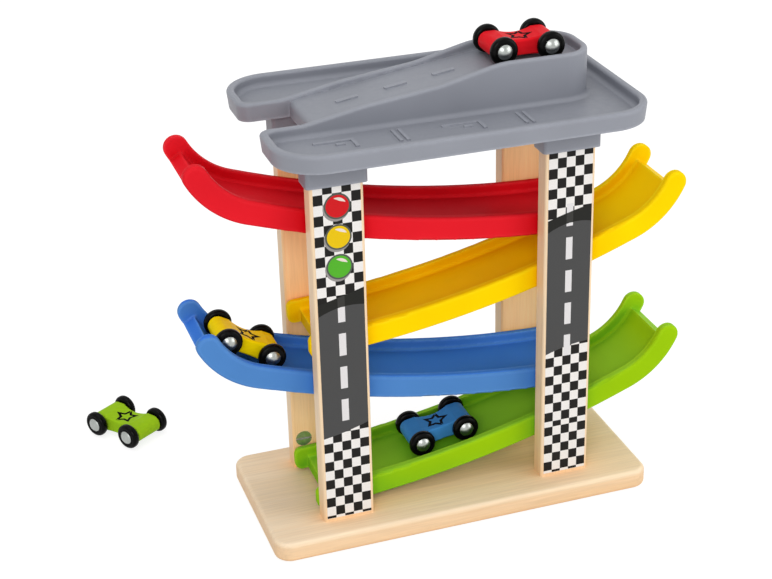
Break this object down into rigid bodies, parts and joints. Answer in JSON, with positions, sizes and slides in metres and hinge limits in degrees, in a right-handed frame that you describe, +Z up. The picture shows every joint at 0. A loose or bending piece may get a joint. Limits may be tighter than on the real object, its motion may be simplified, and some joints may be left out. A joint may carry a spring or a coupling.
{
  "type": "wooden toy car ramp",
  "caption": "Toy car ramp: wooden base and posts hold curved plastic tracks in a zigzag under a grey deck with a starting ramp; small painted wooden cars roll down.",
  "frame": {"origin": "middle of the base board's underside, on the table", "axes": "+Z up, +X to the right along the base board and the tracks, -Y towards the front; the green and yellow tracks rise towards +X"},
  "size_m": [0.3487, 0.2272, 0.2904],
  "materials": {
    "wood": "clear satin lacquer",
    "dowel_wood": "bare turned beech",
    "print_film": "printed satin film: checker pattern and road with dashes",
    "zinc_steel": "zinc plated",
    "grey_plastic": "satin moulding",
    "red_plastic": "satin moulding",
    "yellow_plastic": "satin moulding",
    "blue_plastic": "satin moulding",
    "green_plastic": "satin moulding",
    "red_paint": "painted wood with a printed star",
    "yellow_paint": "painted wood with a printed star",
    "blue_paint": "painted wood with a printed star",
    "green_paint": "painted wood with a printed star",
    "black_plastic": "glossy black moulding",
    "axle_steel": "drawn wire",
    "bright_steel": "polished dome"
  },
  "bodies": {
    "ramp_stand": {"base_board": "wood", "post_front_left": "wood", "print_front_left": "print_film", "post_front_right": "wood", "print_front_right": "print_film", "post_back_left": "wood", "print_back_left": "print_film", "post_back_right": "wood", "print_back_right": "print_film", "barrel_nuts": "zinc_steel", "bolts": "zinc_steel", "dowel_pins": "dowel_wood", "track_green": "green_plastic", "track_blue": "blue_plastic", "track_yellow": "yellow_plastic", "track_red": "red_plastic", "top_deck": "grey_plastic"},
    "red_car": {"red_car_body": "red_paint"},
    "red_front_wheels": {"red_axle_front": "axle_steel", "red_wheel_front_left": "black_plastic", "red_wheel_front_right": "black_plastic", "red_caps_front": "bright_steel"},
    "red_rear_wheels": {"red_axle_rear": "axle_steel", "red_wheel_rear_left": "black_plastic", "red_wheel_rear_right": "black_plastic", "red_caps_rear": "bright_steel"},
    "blue_car": {"blue_car_body": "blue_paint"},
    "blue_front_wheels": {"blue_axle_front": "axle_steel", "blue_wheel_front_left": "black_plastic", "blue_wheel_front_right": "black_plastic", "blue_caps_front": "bright_steel"},
    "blue_rear_wheels": {"blue_axle_rear": "axle_steel", "blue_wheel_rear_left": "black_plastic", "blue_wheel_rear_right": "black_plastic", "blue_caps_rear": "bright_steel"},
    "yellow_car": {"yellow_car_body": "yellow_paint"},
    "yellow_front_wheels": {"yellow_axle_front": "axle_steel", "yellow_wheel_front_left": "black_plastic", "yellow_wheel_front_right": "black_plastic", "yellow_caps_front": "bright_steel"},
    "yellow_rear_wheels": {"yellow_axle_rear": "axle_steel", "yellow_wheel_rear_left": "black_plastic", "yellow_wheel_rear_right": "black_plastic", "yellow_caps_rear": "bright_steel"},
    "green_car": {"green_car_body": "green_paint"},
    "green_front_wheels": {"green_axle_front": "axle_steel", "green_wheel_front_left": "black_plastic", "green_wheel_front_right": "black_plastic", "green_caps_front": "bright_steel"},
    "green_rear_wheels": {"green_axle_rear": "axle_steel", "green_wheel_rear_left": "black_plastic", "green_wheel_rear_right": "black_plastic", "green_caps_rear": "bright_steel"}
  },
  "joints": [
    {"name": "red_front_wheels_turn", "type": "hinge", "parent": "red_car", "child": "red_front_wheels", "pos_m": [0.0659, 0, 0.28215], "axis": [0, 1, 0], "continuous": true},
    {"name": "red_rear_wheels_turn", "type": "hinge", "parent": "red_car", "child": "red_rear_wheels", "pos_m": [0.0371, 0, 0.28215], "axis": [0, 1, 0], "continuous": true},
    {"name": "blue_front_wheels_turn", "type": "hinge", "parent": "blue_car", "child": "blue_front_wheels", "pos_m": [0.01314, 0.0008, 0.04213], "axis": [0, 1, 0], "continuous": true},
    {"name": "blue_rear_wheels_turn", "type": "hinge", "parent": "blue_car", "child": "blue_rear_wheels", "pos_m": [-0.0152, 0.0008, 0.03702], "axis": [0, 1, 0], "continuous": true},
    {"name": "yellow_front_wheels_turn", "type": "hinge", "parent": "yellow_car", "child": "yellow_front_wheels", "pos_m": [-0.10682, -0.0015, 0.1165], "axis": [0, 1, 0], "continuous": true},
    {"name": "yellow_rear_wheels_turn", "type": "hinge", "parent": "yellow_car", "child": "yellow_rear_wheels", "pos_m": [-0.13175, -0.0015, 0.13092], "axis": [0, 1, 0], "continuous": true},
    {"name": "green_front_wheels_turn", "type": "hinge", "parent": "green_car", "child": "green_front_wheels", "pos_m": [-0.16512, 0.11785, 0.00825], "axis": [0.8231, 0.5678, 0], "continuous": true},
    {"name": "green_rear_wheels_turn", "type": "hinge", "parent": "green_car", "child": "green_rear_wheels", "pos_m": [-0.18148, 0.14155, 0.00825], "axis": [0.8231, 0.5678, 0], "continuous": true},
    {"name": "red_car_rolls", "type": "slide", "parent": "ramp_stand", "child": "red_car", "axis": [1, 0, 0], "range_m": [-0.004, 0.006]},
    {"name": "blue_car_rolls", "type": "hinge", "parent": "ramp_stand", "child": "blue_car", "pos_m": [-0.11359, 0, 0.66329], "axis": [0, -1, 0], "range_deg": [-5, 8.5]},
    {"name": "yellow_car_rolls", "type": "hinge", "parent": "ramp_stand", "child": "yellow_car", "pos_m": [-0.08988, 0, 0.16713], "axis": [0, 1, 0], "range_deg": [-5, 5]},
    {"name": "green_car_rolls", "type": "slide", "parent": "ramp_stand", "child": "green_car", "axis": [0.5678, -0.8231, 0], "range_m": [-0.05, 0.05]}
  ]
}
